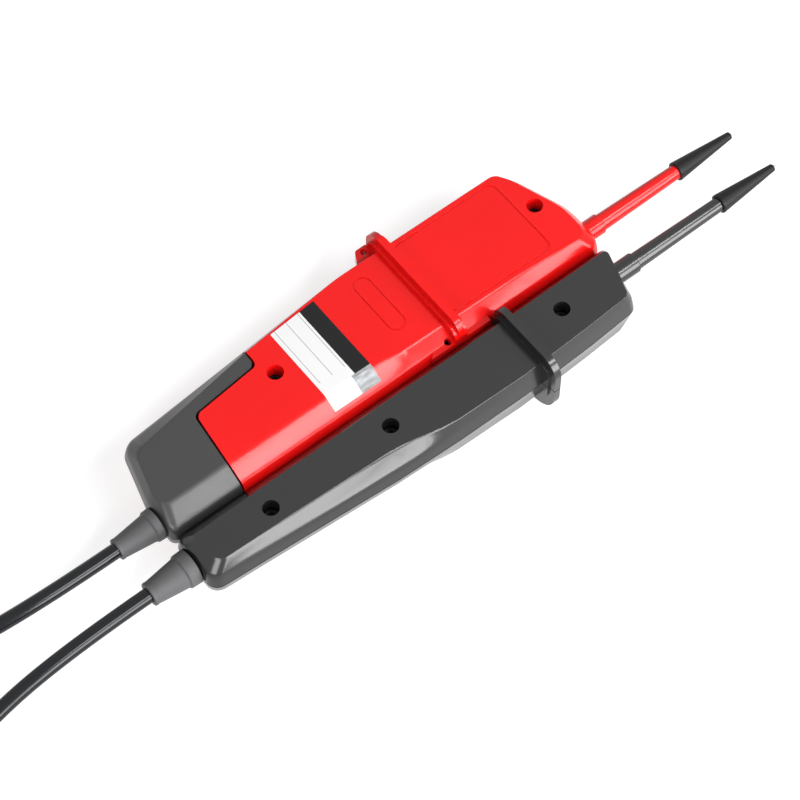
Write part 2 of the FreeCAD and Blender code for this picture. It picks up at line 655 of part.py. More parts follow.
main_back_solid = joined("main_back_solid",
                         [main_back_outer] + main_guard("main_back_guard", False) + dock_blocks())
main_back_open = less("main_back_open", main_back_solid, [main_back_hollow])
main_back_built = joined("main_back_built", [main_back_open] + main_screws["bosses"])
frame_outline = engraved("panel_frame", ("22.0", "17.0", "3"), "25.9", "15.1")
grip_outline = engraved("grip_mark", ("3.45", "12.55", "3.4"), "-13.5", "17.0")
main_back_shell = less("main_back_shell_cut", main_back_built, main_screws["wells"] + ear_holes() + [
    cover_region("cover_opening", "sizes.seam_gap"), main_tip_way, frame_outline, grip_outline])
finish(main_back_shell, "main_back_shell", y=MAIN_Y)


def skirt_room(name, gap):
    """Room of the cover's skirt in the front half, grown by a gap, less the tongue under the gland's neck."""
    length = "sizes.skirt_reach + 5 + (%s)" % gap
    height = "sizes.skirt_drop + sizes.seal + (%s)" % gap
    low = "%s - sizes.skirt_drop - (%s)" % (PARTING, gap)
    start = "sizes.main_cable_x - 5"
    tongue = "(sizes.gland_neck + sizes.run_fit - (%s))" % gap
    room = block(name + "_room", length, "100", height, start, "-50", low)
    keep = block(name + "_tongue", length, "2 * " + tongue, height, start, "-" + tongue, low)
    return less(name, room, [keep])


cover_solid = less("cover_solid", main_back_outer, [main_back_hollow])
cover_part = common("cover_part", cover_solid, cover_region("cover_plan", "0"))
skirt_front = less("skirt_front", main_front_outer, [main_front_hollow])
skirt_band = less("skirt_band", rim("skirt_band_rim", main_plan, 1, "0"),
                  [rim("skirt_band_in", main_plan, 1, "sizes.wall")])
skirt_wall = joined("skirt_wall", [skirt_front, skirt_band])
cover_skirt = common("cover_skirt", skirt_wall, skirt_room("skirt_plan", "0"))
finish(less("battery_cover_cut", joined("cover_built", [cover_part, cover_skirt]), [main_gland_way]),
       "battery_cover", y=MAIN_Y)


# Front half of the display unit, with the window, the lamp holes, the buttons and the battery cradle

LEDS = 7
BOARD_LOW = "(%s + sizes.board_height)" % FRONT


def window_opening(name, grow, height):
    length = "sizes.window_length + 2 * (%s)" % grow
    width = "sizes.window_width + 2 * (%s)" % grow
    return block(name, length, width, height,
                 "sizes.window_x - sizes.window_length / 2 - (%s)" % grow,
                 "sizes.window_y - sizes.window_width / 2 - (%s)" % grow, FRONT)


def led_places():
    middle = (LEDS - 1) / 2
    return ["sizes.window_y + %s * sizes.led_pitch" % (i - middle) for i in range(LEDS)]


def button_way(name, x, y):
    return post(name, "sizes.button_radius + 2 * sizes.run_fit", "sizes.wall * 2", x, y, "%s - 1" % FRONT)


CELL_YS = ["sizes.cell_y", "(sizes.cell_y + sizes.cell_pitch)"]
CRADLE_X = "(sizes.cell_x - 2.5)"
CONTACT_XS = ["(sizes.cell_x - 0.8 - sizes.contact)", "(sizes.cell_x + sizes.cell_length)"]


def battery_cradle():
    """Trough in the front half, with a channel for each cell."""
    trough = block("cradle_block", "sizes.cell_length + 5", "sizes.cell_pitch + 2 * sizes.cell_radius + 1.6",
                   "sizes.front_depth - sizes.wall - 1.5", CRADLE_X, "sizes.cell_y - sizes.cell_radius - 0.8",
                   "%s + sizes.wall / 2" % FRONT)
    channels = [
        rod_along_x("cradle_channel_%d" % i, "sizes.cell_radius + 0.3", "sizes.cell_length + 2.4",
                    "sizes.cell_x - 1.2", y, PARTING)
        for i, y in enumerate(CELL_YS)
    ]
    slots = [
        block("cradle_slot_%d" % i, "sizes.contact + 2 * sizes.contact_room",
              "sizes.cell_pitch + 7 + 2 * sizes.contact_room", "10",
              "%s - sizes.contact_room" % x, "sizes.cell_y - 3.5 - sizes.contact_room",
              "%s - 4.5 - sizes.contact_room" % PARTING)
        for i, x in enumerate(CONTACT_XS)
    ]
    return less("battery_cradle", trough, channels + slots)


def board_posts(name, places):
    height = "sizes.board_height - sizes.wall / 2"
    return [
        post("%s_%d" % (name, i), "1.8", height, x, y, "%s + sizes.wall / 2" % FRONT)
        for i, (x, y) in enumerate(places)
    ]


main_front_solid = joined("main_front_solid", [main_front_outer] + main_guard("main_front_guard", True))
main_front_open = less("main_front_open", main_front_solid, [main_front_hollow])
main_posts = board_posts("main_post", [("-48", "0"), ("-48", "23"), ("6", "0"), ("6", "24")])
main_front_built = joined("main_front_built", [main_front_open, battery_cradle()]
                          + main_screws["front_bosses"] + dock_hooks() + main_posts)
front_ways = [
    window_opening("window_seat", "0", "sizes.wall"),
    button_way("hold_way", "sizes.hold_x", "sizes.window_y"),
    button_way("test_way", "sizes.test_x", "sizes.window_y"),
    main_gland_way,
    main_tip_way,
]
front_ways += [
    post("led_way_%d" % i, "sizes.led_radius + 2 * sizes.run_fit", "sizes.wall * 2",
         "sizes.led_x", y, "%s - 1" % FRONT)
    for i, y in enumerate(led_places())
]
skirt_opening = skirt_room("skirt_opening", "sizes.seam_gap")
main_front_shell = less("main_front_shell_cut", main_front_built,
                        main_screws["pilots"] + front_ways + [skirt_opening])
finish(main_front_shell, "main_front_shell", y=MAIN_Y)
finish(gasket("main_gasket", main_plan, 1, [main_gland_way, main_tip_way, skirt_opening]),
       "main_gasket", y=MAIN_Y)
finish(group("main_case_screws_group", main_screws["screws"]), "main_case_screws", y=MAIN_Y)


# Inside the display unit

window = window_opening("display_window_plate", "-sizes.run_fit", "sizes.wall")
finish(window, "display_window")
window.setExpression("Placement.Base.x", "sizes.window_x - sizes.window_length / 2 + sizes.run_fit")
window.setExpression("Placement.Base.y",
                     "%s + sizes.window_y - sizes.window_width / 2 + sizes.run_fit" % MAIN_Y)
window.setExpression("Placement.Base.z", FRONT)

module_height = "sizes.board_height - sizes.wall"
module = block("display_module_block", "sizes.window_length + 3", "sizes.window_width + 3", module_height,
               "sizes.window_x - sizes.window_length / 2 - 1.5",
               "sizes.window_y - sizes.window_width / 2 - 1.5", "%s + sizes.wall" % FRONT)
finish(group("display_module_group", [module]), "display_module", y=MAIN_Y)

lamps = [
    joined("led_%d" % i, [
        post("led_%d_body" % i, "sizes.led_radius", "sizes.board_height - 1",
             "sizes.led_x", y, "%s + 1" % FRONT),
        place(add("Sphere", "led_%d_dome" % i, Radius="sizes.led_radius"),
              "sizes.led_x", y, "%s + 1.4" % FRONT),
    ])
    for i, y in enumerate(led_places())
]
finish(group("level_lamps_group", lamps), "level_lamps", y=MAIN_Y)

chip_low = "%s + sizes.board" % BOARD_LOW
main_board = joined("main_board", [
    block("main_board_plate", "101", "31", "sizes.board", "-52", "-4", BOARD_LOW),
    block("main_chip", "10", "10", "1.4", "20", "9", chip_low),
    block("main_driver", "8", "5", "1.4", "2", "4", chip_low),
    block("main_converter", "6", "6", "2.0", "-14", "16", chip_low),
])
finish(main_board, "main_circuit_board", y=MAIN_Y)

buzzer = less("buzzer_can", post("buzzer_body", "6", "3.8", "-32", "14", chip_low),
              [post("buzzer_port", "1", "2", "-32", "14", "%s + 3" % chip_low)])
finish(buzzer, "buzzer", y=MAIN_Y)


def switch(name, x, y):
    return block(name, "6", "6", "sizes.switch_height", "%s - 3" % x, "%s - 3" % y,
                 "%s - sizes.switch_height" % BOARD_LOW)


finish(group("main_switches_group", [
    switch("hold_switch", "sizes.hold_x", "sizes.window_y"),
    switch("test_switch", "sizes.test_x", "sizes.window_y"),
]), "main_switches", y=MAIN_Y)


def front_button(name, x, y):
    """Round button with a flange behind the front wall, a chamfered cap and a finger dish."""
    inner = "(%s + sizes.wall + sizes.run_fit)" % FRONT
    low = "(%s - sizes.button_proud)" % FRONT
    rim_radius = "sizes.button_radius - 0.4"
    cap = add("Cone", name + "_edge", Radius1=rim_radius, Radius2="sizes.button_radius", Height="0.4")
    place(cap, x, y, low)
    stem = post(name + "_stem", "sizes.button_radius", "%s - %s - 0.4" % (inner, low), x, y, "%s + 0.4" % low)
    flange = post(name + "_flange", "sizes.button_radius + 0.9", "sizes.button_flange", x, y, inner)
    dish = place(add("Sphere", name + "_dish", Radius="12"), x, y, "%s - 12 + 0.45" % low)
    return less(name, joined(name + "_solid", [cap, stem, flange]), [dish])


finish(front_button("hold_button_cut", "sizes.hold_x", "sizes.window_y"), "hold_button", y=MAIN_Y)
finish(front_button("test_button_cut", "sizes.test_x", "sizes.window_y"), "test_button", y=MAIN_Y)

cells = []
for i, y in enumerate(CELL_YS):
    can_length = "sizes.cell_length - 0.8"
    can = rod_along_x("cell_%d_can" % i, "sizes.cell_radius", can_length, "sizes.cell_x", y, PARTING)
    nub_x = "sizes.cell_x + sizes.cell_length - 0.8" if i == 0 else "sizes.cell_x - 0.8"
    nub = rod_along_x("cell_%d_nub" % i, "1.9", "0.8", nub_x, y, PARTING)
    cells.append(joined("cell_%d" % i, [can, nub]))
finish(group("battery_cells_group", cells), "battery_cells", y=MAIN_Y)

contacts = [
    block("contact_%d" % i, "sizes.contact", "sizes.cell_pitch + 7", "9",
          x, "sizes.cell_y - 3.5", "%s - 4.5" % PARTING)
    for i, x in enumerate(CONTACT_XS)
]
finish(group("battery_contacts_group", contacts), "battery_contacts", y=MAIN_Y)


# Tips and glands

# The flange's front face, clear of the lean of the end wall and of the probe head's slant
main_flange_x = "(sizes.main_head_x - sizes.wall - sizes.end_draft - 0.25)"
probe_flange_x = "((sizes.probe_head_x + sizes.probe_head_grip_x) / 2 - sizes.wall - sizes.end_draft - 1)"


def sleeve(name, flange_x, collar_x, tip_x, y):
    """Insulating sleeve: flange behind the end wall, collar and a tapered shaft, with a bore for the rod."""
    cap_rear = "%s - sizes.cap_show - sizes.cap_length" % tip_x
    bore = "sizes.rod_radius + sizes.run_fit"
    profile = [
        ("%s - 2.2" % flange_x, bore),
        ("%s - 2.2" % flange_x, "sizes.collar_radius + sizes.flange_lip"),
        (flange_x, "sizes.collar_radius + sizes.flange_lip"),
        (flange_x, "sizes.collar_radius"),
        ("%s - 0.4" % collar_x, "sizes.collar_radius"),
        (collar_x, "sizes.collar_radius - 0.3"),
        (collar_x, "sizes.sleeve_root_radius"),
        (cap_rear, "sizes.sleeve_end_radius"),
        ("%s + sizes.cap_grip" % cap_rear, "sizes.sleeve_end_radius"),
        ("%s + sizes.cap_grip" % cap_rear, bore),
    ]
    return turned(name, profile, y)


def rod(name, flange_x, tip_x, y):
    """Metal rod with a taper and a ground point."""
    profile = [
        ("%s - 9" % flange_x, "0"),
        ("%s - 9" % flange_x, "sizes.rod_radius"),
        ("%s - sizes.point_length - sizes.rod_taper" % tip_x, "sizes.rod_radius"),
        ("%s - sizes.point_length" % tip_x, "sizes.rod_point_radius"),
        (tip_x, "0.1"),
        (tip_x, "0"),
    ]
    return turned(name, profile, y)


def tip_cap(name, tip_x, y):
    """Tapered cap that grips the sleeve and leaves the point bare."""
    front = "%s - sizes.cap_show" % tip_x
    rear = "%s - sizes.cap_length" % front
    taper = "%s - sizes.point_length - sizes.rod_taper" % tip_x
    bore = "sizes.sleeve_end_radius + sizes.run_fit"
    profile = [
        (rear, bore),
        (rear, "sizes.cap_rear_radius - 0.25"),
        ("%s + 0.25" % rear, "sizes.cap_rear_radius"),
        ("%s - 0.3" % front, "sizes.cap_front_radius"),
        (front, "sizes.cap_front_radius - 0.3"),
        (front, "sizes.rod_point_radius + 0.2"),
        (taper, "sizes.rod_radius + 0.15"),
        ("%s + sizes.cap_grip + 1.5" % rear, "sizes.rod_radius + 0.15"),
        ("%s + sizes.cap_grip + 0.3" % rear, bore),
    ]
    return turned(name, profile, y)


def gland(name, wall_x, end_x, collar, length, mouth, y):
    """Rubber gland: flange and neck in the end wall, a collar and a tapered relief with a rim."""
    inside = "%s + sizes.wall + sizes.end_draft + sizes.run_fit" % wall_x
    profile = [
        (inside + " + 1.5", "0"),
        (inside + " + 1.5", "sizes.gland_neck + sizes.flange_lip - 0.2"),
        (inside, "sizes.gland_neck + sizes.flange_lip - 0.2"),
        (inside, "sizes.gland_neck"),
        ("%s - sizes.run_fit" % wall_x, "sizes.gland_neck"),
        ("%s - sizes.run_fit" % wall_x, collar),
        ("%s - (%s) + 0.4" % (wall_x, length), "%s - 0.15" % collar),
        ("%s - (%s)" % (wall_x, length), "%s - 0.45" % collar),
        ("%s - (%s) - 0.1" % (wall_x, length), "%s - sizes.collar_step" % collar),
        ("%s + 1.2" % end_x, mouth),
        ("%s + 0.9" % end_x, "%s + 0.15" % mouth),
        (end_x, "%s + 0.05" % mouth),
        (end_x, "0"),
    ]
    return turned(name, profile, y)


finish(sleeve("main_sleeve", main_flange_x, "sizes.main_collar_x", "sizes.main_tip_x", MAIN_Y),
       "main_tip_sleeve", y=MAIN_Y)
finish(rod("main_rod", main_flange_x, "sizes.main_tip_x", MAIN_Y), "main_tip_rod", y=MAIN_Y)
finish(tip_cap("main_cap", "sizes.main_tip_x", MAIN_Y), "main_tip_cap", y=MAIN_Y)
finish(gland("main_relief", "sizes.main_cable_x", "sizes.main_gland_end_x", "sizes.main_gland_collar",
             "sizes.main_collar_length", "sizes.main_gland_mouth", MAIN_Y), "main_cable_gland", y=MAIN_Y)
finish(sleeve("probe_sleeve", probe_flange_x, "sizes.probe_collar_x", "sizes.probe_tip_x", PROBE_Y),
       "probe_tip_sleeve", y=PROBE_Y)
finish(rod("probe_rod", probe_flange_x, "sizes.probe_tip_x", PROBE_Y), "probe_tip_rod", y=PROBE_Y)
finish(tip_cap("probe_cap", "sizes.probe_tip_x", PROBE_Y), "probe_tip_cap", y=PROBE_Y)
finish(gland("probe_relief", "sizes.probe_cable_x", "sizes.probe_gland_end_x", "sizes.probe_gland_collar",
             "sizes.probe_collar_length", "sizes.probe_gland_mouth", PROBE_Y), "probe_cable_gland", y=PROBE_Y)
for item in finished[-8:]:
    item.setExpression("Placement.Base.z", PARTING)


# Probe unit

probe_plan = probe_corners()
probe_back_outer, probe_back_hollow = half_housing("probe_back", probe_plan, -1, False)
probe_front_outer, probe_front_hollow = half_housing("probe_front", probe_plan, -1, True)
probe_screws = screw_parts("probe", PROBE_SCREWS, -1)


def probe_guard(name, front):
    crest = guard(name + "_crest", -1, "sizes.probe_guard_side", "sizes.probe_guard_x",
                  "sizes.probe_guard_crest", "sizes.guard_reach", front)
    foot = guard(name + "_foot", -1, "sizes.probe_guard_side", "sizes.probe_guard_x - sizes.probe_foot",
                 "sizes.probe_guard_crest + 2 * sizes.probe_foot", "sizes.probe_foot_rise", front, "2")
    return [crest, foot]


def hook_slots():
    """Keyhole slots in the dock wall of the probe unit's front half."""
    slots = []
    middle = "%s - sizes.hook_drop" % PARTING
    depth = "sizes.wall + sizes.draft + 2"
    low_y = "sizes.dock_half - sizes.wall - sizes.draft - 1"
    for tag, x in (("rear", "sizes.hook_rear_x"), ("front", "sizes.hook_front_x")):
        low_x = "%s - sizes.hook_length / 2 - sizes.hook_travel - sizes.hook_room" % x
        slot_height = "(sizes.hook_stem + 2 * sizes.hook_room)"
        window_height = "(sizes.hook_head + 2 * sizes.hook_room)"
        window_length = "sizes.hook_length + 2 * sizes.hook_room"
        slots.append(block("hook_slot_" + tag, window_length + " + sizes.hook_travel", depth,
                           slot_height, low_x, low_y, "%s - %s / 2" % (middle, slot_height)))
        slots.append(block("hook_window_" + tag, window_length, depth,
                           window_height, low_x, low_y, "%s - %s / 2" % (middle, window_height)))
    return slots


probe_gland_way = end_hole("probe_gland_way", "sizes.gland_neck + sizes.run_fit",
                           "sizes.probe_cable_x - 5", "sizes.wall * 4 + 5")
probe_tip_way = end_hole("probe_tip_way", "sizes.collar_radius + sizes.run_fit",
                         "%s - 2" % probe_flange_x, "20")

probe_back_solid = joined("probe_back_solid", [probe_back_outer] + probe_guard("probe_back_guard", False))
probe_back_open = less("probe_back_open", probe_back_solid, [probe_back_hollow])
probe_back_built = joined("probe_back_built", [probe_back_open] + probe_screws["bosses"])
finish(less("probe_back_shell_cut", probe_back_built,
            probe_screws["wells"] + [probe_gland_way, probe_tip_way]),
       "probe_back_shell", y=PROBE_Y)

probe_front_solid = joined("probe_front_solid", [probe_front_outer] + probe_guard("probe_front_guard", True))
probe_front_open = less("probe_front_open", probe_front_solid, [probe_front_hollow])
probe_posts = board_posts("probe_post", [("-30", "-6"), ("24", "-6"), ("-30", "2"), ("24", "2")])
probe_front_built = joined("probe_front_built",
                           [probe_front_open] + probe_screws["front_bosses"] + probe_posts)
probe_button_way = button_way("probe_button_way", "sizes.probe_button_x", "-4")
finish(less("probe_front_shell_cut", probe_front_built,
            probe_screws["pilots"] + hook_slots() + [probe_button_way, probe_gland_way, probe_tip_way]),
       "probe_front_shell", y=PROBE_Y)
finish(gasket("probe_gasket", probe_plan, -1, [probe_gland_way, probe_tip_way]), "probe_gasket", y=PROBE_Y)
finish(group("probe_case_screws_group", probe_screws["screws"]), "probe_case_screws", y=PROBE_Y)
finish(front_button("probe_button_cut", "sizes.probe_button_x", "-4"), "probe_test_button", y=PROBE_Y)
finish(group("probe_switch_group", [switch("probe_switch_can", "sizes.probe_button_x", "-4")]),
       "probe_switch", y=PROBE_Y)
finish(group("probe_board_group", [block("probe_board", "58", "13", "sizes.board", "-32", "-9", BOARD_LOW)]),
       "probe_circuit_board", y=PROBE_Y)

resistors = [
    rod_along_x("resistor_%d" % i, "1.3", "8", "-26 + %d * 12" % i, "-4", "%s + 1.3" % chip_low)
    for i in range(4)
]
finish(group("series_resistors_group", resistors), "series_resistors", y=PROBE_Y)


# Rating label on the display unit: flat on the back face and folded down over the dock bevel

def label_strip():
    """Section of the label across the unit, from the grip side of the back face to its end on the bevel."""
    edge = "(-sizes.dock_half + %s)"
    rise = "(%s - (1 - %s) * (sizes.back_depth - sizes.wall_rise))"
    path = []
    for wall_share, bevel_share, draft, bevel in RISE[:2:-1]:
        path.append((edge % ("%s * sizes.draft + %s * sizes.main_bevel_handle" % (draft, bevel)),
                     rise % (BACK, bevel_share)))
    low_end = (between(path[-1][0], path[-2][0], 0.2), between(path[-1][1], path[-2][1], 0.2))
    path[-1] = low_end
    under = [("sizes.main_width_head", BACK, None)] + [(y, z, None) for y, z in path]
    over = [
        ("%s - 0.6 * sizes.label_thickness" % y, "%s + 0.85 * sizes.label_thickness" % z, None)
        for y, z in path[1:]
    ]
    top = "%s + sizes.label_thickness" % BACK
    over.insert(0, ("%s - 0.2 * sizes.label_thickness" % path[0][0], top, None))
    over.insert(0, ("sizes.main_width_head", top, None))
    return padded_outline("label_strip", "YZ_Plane", "sizes.label_rear_x",
                          "sizes.label_front_x - sizes.label_rear_x", under + over[::-1])


label_plan = padded_outline("label_plan", "XY_Plane", PARTING, "20", [
    ("sizes.label_rear_x - 1", "-30", None),
    ("sizes.label_front_x + 1", "-30", None),
    ("sizes.label_front_x + 1", "31.6", None),
    ("sizes.label_rear_x - 1", "29.8", None),
])
finish(common("rating_label_cut", label_strip(), label_plan), "rating_label", y=MAIN_Y)


# Cable: two straight runs from the glands and the put-away coil

MAIN_ROUTE = [(-135.8, 0.65, 16.5), (-170, 0.65, 16.5), (-204, 6, 13), (-236, 28, 9.5), (-270, 35.75, 8.25)]
PROBE_ROUTE = [
    (-137, -19.15, 16.5),
    (-172, -19.15, 16.5),
    (-208, -22, 11),
    (-240, -31, 4.5),
    (-274, -35.75, 2.75),
]
ARC_SHARE = 0.45  # share of the shorter run that an arc may take


def cord_run(name, route):
    """Tube along straight runs joined by tangent arcs."""
    points = [Vector(*place) for place in route]
    edges, here, length = [], points[0], 0.0
    for before, corner, after in zip(points, points[1:], points[2:]):
        back, ahead = before - corner, after - corner
        half_turn = (math.pi - back.getAngle(ahead)) / 2
        reach = ARC_SHARE * min(back.Length, ahead.Length)
        print(name, "bend radius", round(reach / math.tan(half_turn), 1))
        start, end = corner + back.normalize() * reach, corner + ahead.normalize() * reach
        bisector = ((start + end) * 0.5 - corner).normalize()
        radius = reach / math.tan(half_turn)
        middle = corner + bisector * (radius / math.cos(half_turn) - radius)
        edges += [Part.LineSegment(here, start).toShape(), Part.Arc(start, middle, end).toShape()]
        here = end
    edges.append(Part.LineSegment(here, points[-1]).toShape())
    path = Part.Wire(edges)
    radius = number("sizes.cord_radius")
    ring = Part.Wire([Part.makeCircle(radius, points[0], points[1] - points[0])])
    tube = path.makePipeShell([ring], True, False)
    expected = math.pi * radius ** 2 * path.Length
    print(name, "length", round(path.Length, 1), "volume ratio", round(tube.Volume / expected, 4))
    item = document.addObject("Part::Feature", name)
    item.Shape = tube
    item.Label = name
    finished.append(item)
    return item


cord_run("cord_main_run", MAIN_ROUTE)
cord_run("cord_probe_run", PROBE_ROUTE)

coil = document.addObject("PartDesign::Body", "coil_body")
coil_inside, coil_outside = "sizes.coil_inner - sizes.cord_radius", "sizes.coil_inner + 3 * sizes.cord_radius"
coil_sketch = outline(coil, "coil_section", "XZ_Plane", "0", [
    (coil_inside, "0", "2"),
    (coil_outside, "0", "2"),
    (coil_outside, "4 * sizes.cord_radius", "2"),
    (coil_inside, "4 * sizes.cord_radius", "2"),
])
coil_turn = coil.newObject("PartDesign::Revolution", "coil_turn")
coil_turn.Profile = coil_sketch
coil_turn.ReferenceAxis = (coil_sketch, ["V_Axis"])
coil_turn.Angle = 360
finish(coil, "cord_coil", x="sizes.coil_x")


# Check and write

document.recompute()
faults = [item.Name for item in document.Objects if set(item.State) & {"Invalid", "Error"}]
for item in finished:
    if item.Shape.isNull() or not item.Shape.isValid():
        faults.append("shape of " + item.Label)
if faults:
    raise SystemExit("faults: " + ", ".join(faults))
for item in finished:
    item.Shape.exportStep(os.path.join("parts", item.Label + ".step"))
box = FreeCAD.BoundBox()
for item in finished:
    if not item.Label.startswith("cord"):
        box.add(item.Shape.optimalBoundingBox(False, False))
print(len(finished), "pieces; overall", [round(size, 2) for size in (box.XLength, box.YLength, box.ZLength)])
print("middle", round(box.Center.x, 3), round(box.Center.y, 3), "floor", round(box.ZMin, 3))
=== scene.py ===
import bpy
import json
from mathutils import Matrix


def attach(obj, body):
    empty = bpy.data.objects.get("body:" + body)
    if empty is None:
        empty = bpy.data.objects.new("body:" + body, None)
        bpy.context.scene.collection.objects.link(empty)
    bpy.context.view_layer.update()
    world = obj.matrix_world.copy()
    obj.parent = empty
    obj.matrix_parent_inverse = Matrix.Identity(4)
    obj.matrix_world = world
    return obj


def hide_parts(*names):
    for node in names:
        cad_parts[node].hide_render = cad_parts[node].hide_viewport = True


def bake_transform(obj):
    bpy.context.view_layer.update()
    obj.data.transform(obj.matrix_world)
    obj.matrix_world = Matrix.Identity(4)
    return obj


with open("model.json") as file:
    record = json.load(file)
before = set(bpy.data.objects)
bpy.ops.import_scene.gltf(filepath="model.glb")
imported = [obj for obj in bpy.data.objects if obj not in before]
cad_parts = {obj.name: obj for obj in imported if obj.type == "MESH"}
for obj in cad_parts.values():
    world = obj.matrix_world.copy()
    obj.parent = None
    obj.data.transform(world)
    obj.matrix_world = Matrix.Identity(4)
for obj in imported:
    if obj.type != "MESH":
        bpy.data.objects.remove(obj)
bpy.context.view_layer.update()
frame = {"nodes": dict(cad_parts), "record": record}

import json
import math

import bmesh
import bpy
import numpy as np
from mathutils import Vector

# Two-pole voltage tester seen from its back: red display unit, grey probe unit, one black cable.
# Metres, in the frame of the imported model: +X towards the tips, +Z up.

mm = 0.001
bodies = frame["record"]["behaviour"]["bodies"]
bodyOf = {node: body for body, nodes in bodies.items() for node in nodes}
collection = bpy.context.scene.collection


def addObject(name, data):
    piece = bpy.data.objects.new(name, data)
    collection.objects.link(piece)
    return piece


# Camera: the photograph's angle, from the cable side and above

photoCamera = {
    "target": (-26.3, -10.15, 12.0),  # mm
    "azimuth": -38.25,  # degrees, 0 looks along +Y
    "elevation": 60.0,
    "distance": 950.0,  # mm
    "lens": 126.1,
    "sensorWidth": 36.0,
    "clipStart": 0.05,  # m
    "clipEnd": 20.0,
}


# Direction to the camera: (sin a cos e, -cos a cos e, sin e)
def makeCamera(values):
    azimuth = math.radians(values["azimuth"])
    elevation = math.radians(values["elevation"])
    back = Vector((
        math.sin(azimuth) * math.cos(elevation),
        -math.cos(azimuth) * math.cos(elevation),
        math.sin(elevation),
    ))
    data = bpy.data.cameras.new("photoCamera")
    data.sensor_width = values["sensorWidth"]
    data.lens = values["lens"]
    data.clip_start = values["clipStart"]
    data.clip_end = values["clipEnd"]
    camera = addObject("photoCamera", data)
    camera.location = (Vector(values["target"]) + back * values["distance"]) * mm
    camera.rotation_euler = back.to_track_quat("Z", "Y").to_euler()
    bpy.context.scene.camera = camera


makeCamera(photoCamera)
print("camera set")


# Materials: every noise, mask and band in the finishes reads Object coordinates

def newMaterial(name, colour, roughness, metallic=0.0, specular=0.5):
    material = bpy.data.materials.new(name)
    material.use_nodes = True
    shader = material.node_tree.nodes["Principled BSDF"]
    shader.inputs["Base Color"].default_value = (*colour, 1.0)
    shader.inputs["Roughness"].default_value = roughness
    shader.inputs["Metallic"].default_value = metallic
    shader.inputs["Specular IOR Level"].default_value = specular
    return material, material.node_tree, shader


def addNoise(tree, scale, detail=3.0, stretch=None):
    place = tree.nodes.new("ShaderNodeTexCoord")
    noise = tree.nodes.new("ShaderNodeTexNoise")
    noise.inputs["Scale"].default_value = scale
    noise.inputs["Detail"].default_value = detail
    if stretch:
        mapping = tree.nodes.new("ShaderNodeMapping")
        mapping.inputs["Scale"].default_value = stretch
        tree.links.new(place.outputs["Object"], mapping.inputs["Vector"])
        tree.links.new(mapping.outputs["Vector"], noise.inputs["Vector"])
    else:
        tree.links.new(place.outputs["Object"], noise.inputs["Vector"])
    return noise.outputs["Fac"]


# A noise lies mostly between 0.3 and 0.7, so that span is stretched to low ... high
def addRange(tree, source, low, high, fromLow=0.3, fromHigh=0.7):
    node = tree.nodes.new("ShaderNodeMapRange")
    node.inputs["From Min"].default_value = fromLow
    node.inputs["From Max"].default_value = fromHigh
    node.inputs["To Min"].default_value = low
    node.inputs["To Max"].default_value = high
    tree.links.new(source, node.inputs["Value"])
    return node.outputs["Result"]


def addColourMix(tree, factor, first, second):
    node = tree.nodes.new("ShaderNodeMix")
    node.data_type = "RGBA"
    for socket, value in (("A", first), ("B", second)):
        target = [item for item in node.inputs if item.name == socket and item.type == "RGBA"][0]
        if isinstance(value, tuple):
            target.default_value = (*value, 1.0)
        else:
            tree.links.new(value, target)
    tree.links.new(factor, node.inputs["Factor"])
    return [item for item in node.outputs if item.type == "RGBA"][0]


def shade(colour, factor):
    return tuple(channel * factor for channel in colour)


# Colour that drifts with a noise from one shade of itself to another
def driftingColour(tree, noise, colour, dark, light):
    share = addRange(tree, noise, 0.0, 1.0)
    return addColourMix(tree, share, shade(colour, dark), shade(colour, light))


def addGrain(tree, shader, scale, strength, depth, stretch=None):
    noise = addNoise(tree, scale, 2.0, stretch)
    bump = tree.nodes.new("ShaderNodeBump")
    bump.inputs["Strength"].default_value = strength
    bump.inputs["Distance"].default_value = depth * mm
    tree.links.new(noise, bump.inputs["Height"])
    tree.links.new(bump.outputs["Normal"], shader.inputs["Normal"])


# Moulded finish: cloudy colour, uneven gloss and the fine grain of an eroded mould

mould = {
    "patchesPerCloud": 3.1,
    "smoother": 0.01,  # taken off the roughness where a patch shines
    "rougher": 0.015,
    "grainDepth": 0.05,  # mm
}


def mouldedFinish(name, finish):
    colour, gloss, spread = finish["colour"], finish["gloss"], finish["spread"]
    material, tree, shader = newMaterial(name, colour, gloss, specular=finish["specular"])
    cloud = addNoise(tree, finish["cloudScale"])
    cloudy = driftingColour(tree, cloud, colour, 1 - spread, 1 + spread)
    tree.links.new(cloudy, shader.inputs["Base Color"])
    patches = addNoise(tree, finish["cloudScale"] * mould["patchesPerCloud"])
    uneven = addRange(tree, patches, gloss - mould["smoother"], gloss + mould["rougher"])
    tree.links.new(uneven, shader.inputs["Roughness"])
    addGrain(tree, shader, finish["grainScale"], finish["grain"], mould["grainDepth"])
    return material


